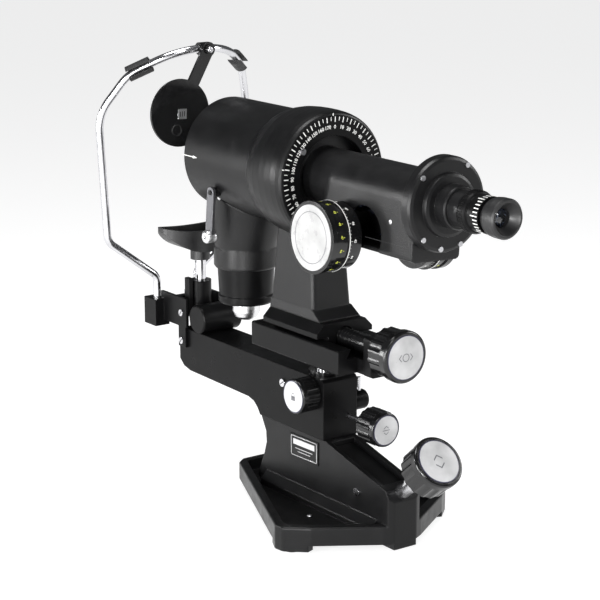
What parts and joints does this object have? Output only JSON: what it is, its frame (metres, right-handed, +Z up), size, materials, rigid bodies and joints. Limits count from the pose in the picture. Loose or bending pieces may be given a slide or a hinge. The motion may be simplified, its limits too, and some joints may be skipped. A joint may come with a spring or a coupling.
{
  "type": "keratometer",
  "caption": "Table instrument that measures the curve of the eye's front surface, with a turning telescope, power drums, lit target drum, chin rest and headrest.",
  "frame": {"origin": "on the table, under the middle of the instrument's overall box", "axes": "+X to the operator's right, +Y from the operator's eyepiece to the patient's headrest, +Z up"},
  "size_m": [0.2118, 0.568, 0.4715],
  "materials": {
    "cast_black": "satin black enamel on cast iron",
    "hammer_black": "hammered black enamel",
    "satin_black": "fine textured satin black enamel",
    "gloss_black": "gloss black moulded",
    "matt_black": "matt black moulded",
    "rubber_black": "plain black rubber",
    "white_inlay": "white enamelled disc",
    "bright_chrome": "polished plating",
    "steel": "turned steel",
    "brass": "turned brass",
    "silver_alloy": "satin bare alloy",
    "lens_glass": "coated lens glass",
    "mire_glass": "frosted target glass",
    "mirror": "silvered"
  },
  "bodies": {
    "base": {"base_casting": "cast_black", "foot_pads": "rubber_black", "slope_cover": "satin_black", "updown_bearing": "bright_chrome", "name_plate": "satin_black", "side_screws": "bright_chrome", "arm_casting": "cast_black", "lift_guide": "bright_chrome", "chin_housing": "satin_black", "chin_post_guide": "gloss_black", "headrest_bracket": "satin_black", "headrest_hoop": "bright_chrome", "forehead_pads": "rubber_black", "occluder_pivot": "gloss_black"},
    "lift": {"lift_post": "bright_chrome"},
    "lift_drive": {"lift_screw": "steel"},
    "cross_drive": {"cross_shaft": "steel"},
    "updown_drive": {"updown_shaft": "steel", "updown_knob": "gloss_black", "updown_cap": "white_inlay"},
    "lock": {"lock_knob": "gloss_black", "lock_cap": "white_inlay"},
    "chin_knob_drive": {"chin_knob": "gloss_black", "chin_cap": "white_inlay", "chin_shaft": "steel"},
    "chin_line": {"chin_drive_shaft": "steel"},
    "chin_screw_drive": {"chin_screw": "brass"},
    "chin_rest": {"chin_post": "bright_chrome", "chin_cup": "matt_black"},
    "occluder": {"occluder_blade": "gloss_black"},
    "swing_base": {"slide_block": "satin_black", "focus_bearing": "satin_black"},
    "focus_drive": {"focus_screw": "gloss_black", "focus_knob": "gloss_black", "focus_cap": "white_inlay"},
    "head": {"saddle": "satin_black", "pedestal": "satin_black", "drum_housing": "satin_black", "lamp_elbow": "hammer_black", "lamp_cup": "silver_alloy", "lamp_socket": "silver_alloy", "lamp_bulb": "lens_glass", "mirror_plate": "mirror", "mire_plate": "mire_glass"},
    "lever": {"latch_lever": "silver_alloy"},
    "telescope": {"scale_ring": "satin_black", "telescope_body": "hammer_black", "operator_flange": "hammer_black", "objective_lens": "lens_glass", "telescope_screws": "steel"},
    "left_carriage": {"left_prism": "lens_glass"},
    "right_carriage": {"right_prism": "lens_glass"},
    "left_drum": {"left_power_drum": "gloss_black", "left_drum_cap": "white_inlay"},
    "right_drum": {"right_power_drum": "gloss_black", "right_drum_cap": "white_inlay"},
    "dioptre": {"dioptre_ring": "satin_black"},
    "eyepiece": {"eyepiece_tube": "satin_black", "eyecup": "matt_black", "eye_lens": "lens_glass"}
  },
  "joints": [
    {"name": "lift_slide", "type": "slide", "parent": "base", "child": "lift", "axis": [0, 0, 1], "range_m": [-0.008, 0.025]},
    {"name": "lift_screw_turn", "type": "hinge", "parent": "base", "child": "lift_drive", "pos_m": [0, -0.01, 0.03], "axis": [0, 0, 1], "range_deg": [-1560, 520]},
    {"name": "cross_shaft_turn", "type": "hinge", "parent": "base", "child": "cross_drive", "pos_m": [0, -0.06, 0.03], "axis": [0, 1, 0], "range_deg": [-1560, 520]},
    {"name": "updown_knob_turn", "type": "hinge", "parent": "base", "child": "updown_drive", "pos_m": [0, -0.105, 0.03], "axis": [0, -0.766, 0.6428], "range_deg": [-520, 1560]},
    {"name": "lock_turn", "type": "hinge", "parent": "base", "child": "lock", "pos_m": [-0.04, -0.0165, 0.1345], "axis": [1, 0, 0], "range_deg": [-90, 180]},
    {"name": "chin_knob_turn", "type": "hinge", "parent": "base", "child": "chin_knob_drive", "pos_m": [0.012, -0.06, 0.109], "axis": [0, 1, 0], "range_deg": [-1630, 1630]},
    {"name": "chin_line_turn", "type": "hinge", "parent": "base", "child": "chin_line", "pos_m": [0.0126, 0.1, 0.1207], "axis": [0, 1, 0], "range_deg": [-2170, 2170]},
    {"name": "chin_screw_turn", "type": "hinge", "parent": "base", "child": "chin_screw_drive", "pos_m": [0, 0.222, 0.15], "axis": [0, 0, 1], "range_deg": [-1090, 1090]},
    {"name": "chin_lift", "type": "slide", "parent": "base", "child": "chin_rest", "axis": [0, 0, 1], "range_m": [-0.02, 0.03]},
    {"name": "occluder_turn", "type": "hinge", "parent": "base", "child": "occluder", "pos_m": [0, 0.2, 0.4635], "axis": [0, 1, 0], "range_deg": [-60, 110]},
    {"name": "swing_turn", "type": "hinge", "parent": "lift", "child": "swing_base", "pos_m": [0, -0.01, 0.175], "axis": [0, 0, 1], "range_deg": [-20, 20]},
    {"name": "focus_slide", "type": "slide", "parent": "swing_base", "child": "head", "axis": [0, 1, 0], "range_m": [-0.02, 0.02]},
    {"name": "focus_knob_turn", "type": "hinge", "parent": "swing_base", "child": "focus_drive", "pos_m": [0, -0.1, 0.197], "axis": [0, 1, 0], "range_deg": [-725, 725]},
    {"name": "lever_turn", "type": "hinge", "parent": "head", "child": "lever", "pos_m": [-0.058, 0.11, 0.3275], "axis": [1, 0, 0], "range_deg": [0, 35]},
    {"name": "telescope_roll", "type": "hinge", "parent": "head", "child": "telescope", "pos_m": [0, 0, 0.358], "axis": [0, 1, 0], "range_deg": [-90, 90]},
    {"name": "left_drum_turn", "type": "hinge", "parent": "telescope", "child": "left_drum", "pos_m": [-0.00203, -0.0805, 0.31154], "axis": [0.999, 0, -0.0436], "range_deg": [-150, 150]},
    {"name": "left_prism_slide", "type": "slide", "parent": "telescope", "child": "left_carriage", "axis": [0, 1, 0], "range_m": [-0.0062, 0.0062]},
    {"name": "right_drum_turn", "type": "hinge", "parent": "telescope", "child": "right_drum", "pos_m": [-0.00203, -0.113, 0.31154], "axis": [0.999, 0, -0.0436], "range_deg": [-150, 150]},
    {"name": "right_prism_slide", "type": "slide", "parent": "telescope", "child": "right_carriage", "axis": [0, 1, 0], "range_m": [-0.0062, 0.0062]},
    {"name": "eyepiece_slide", "type": "slide", "parent": "telescope", "child": "eyepiece", "axis": [0, 1, 0], "range_m": [-0.003, 0.003]},
    {"name": "dioptre_ring_turn", "type": "hinge", "parent": "telescope", "child": "dioptre", "pos_m": [0, -0.245, 0.358], "axis": [0, 1, 0], "range_deg": [-182, 182]}
  ],
  "couplings": [
    {"joint": "updown_knob_turn", "follows": "lift_slide", "rad_per_m": 1047.2},
    {"joint": "lift_screw_turn", "follows": "lift_slide", "rad_per_m": -1047.2},
    {"joint": "cross_shaft_turn", "follows": "lift_slide", "rad_per_m": -1047.2},
    {"joint": "focus_knob_turn", "follows": "focus_slide", "rad_per_m": -628.3},
    {"joint": "chin_screw_turn", "follows": "chin_lift", "rad_per_m": -628.3},
    {"joint": "chin_line_turn", "follows": "chin_lift", "rad_per_m": 1256.6},
    {"joint": "chin_knob_turn", "follows": "chin_lift", "rad_per_m": -942.5},
    {"joint": "left_prism_slide", "follows": "left_drum_turn", "m_per_rad": 0.002292},
    {"joint": "right_prism_slide", "follows": "right_drum_turn", "m_per_rad": -0.002292},
    {"joint": "dioptre_ring_turn", "follows": "eyepiece_slide", "rad_per_m": 1047.2}
  ]
}
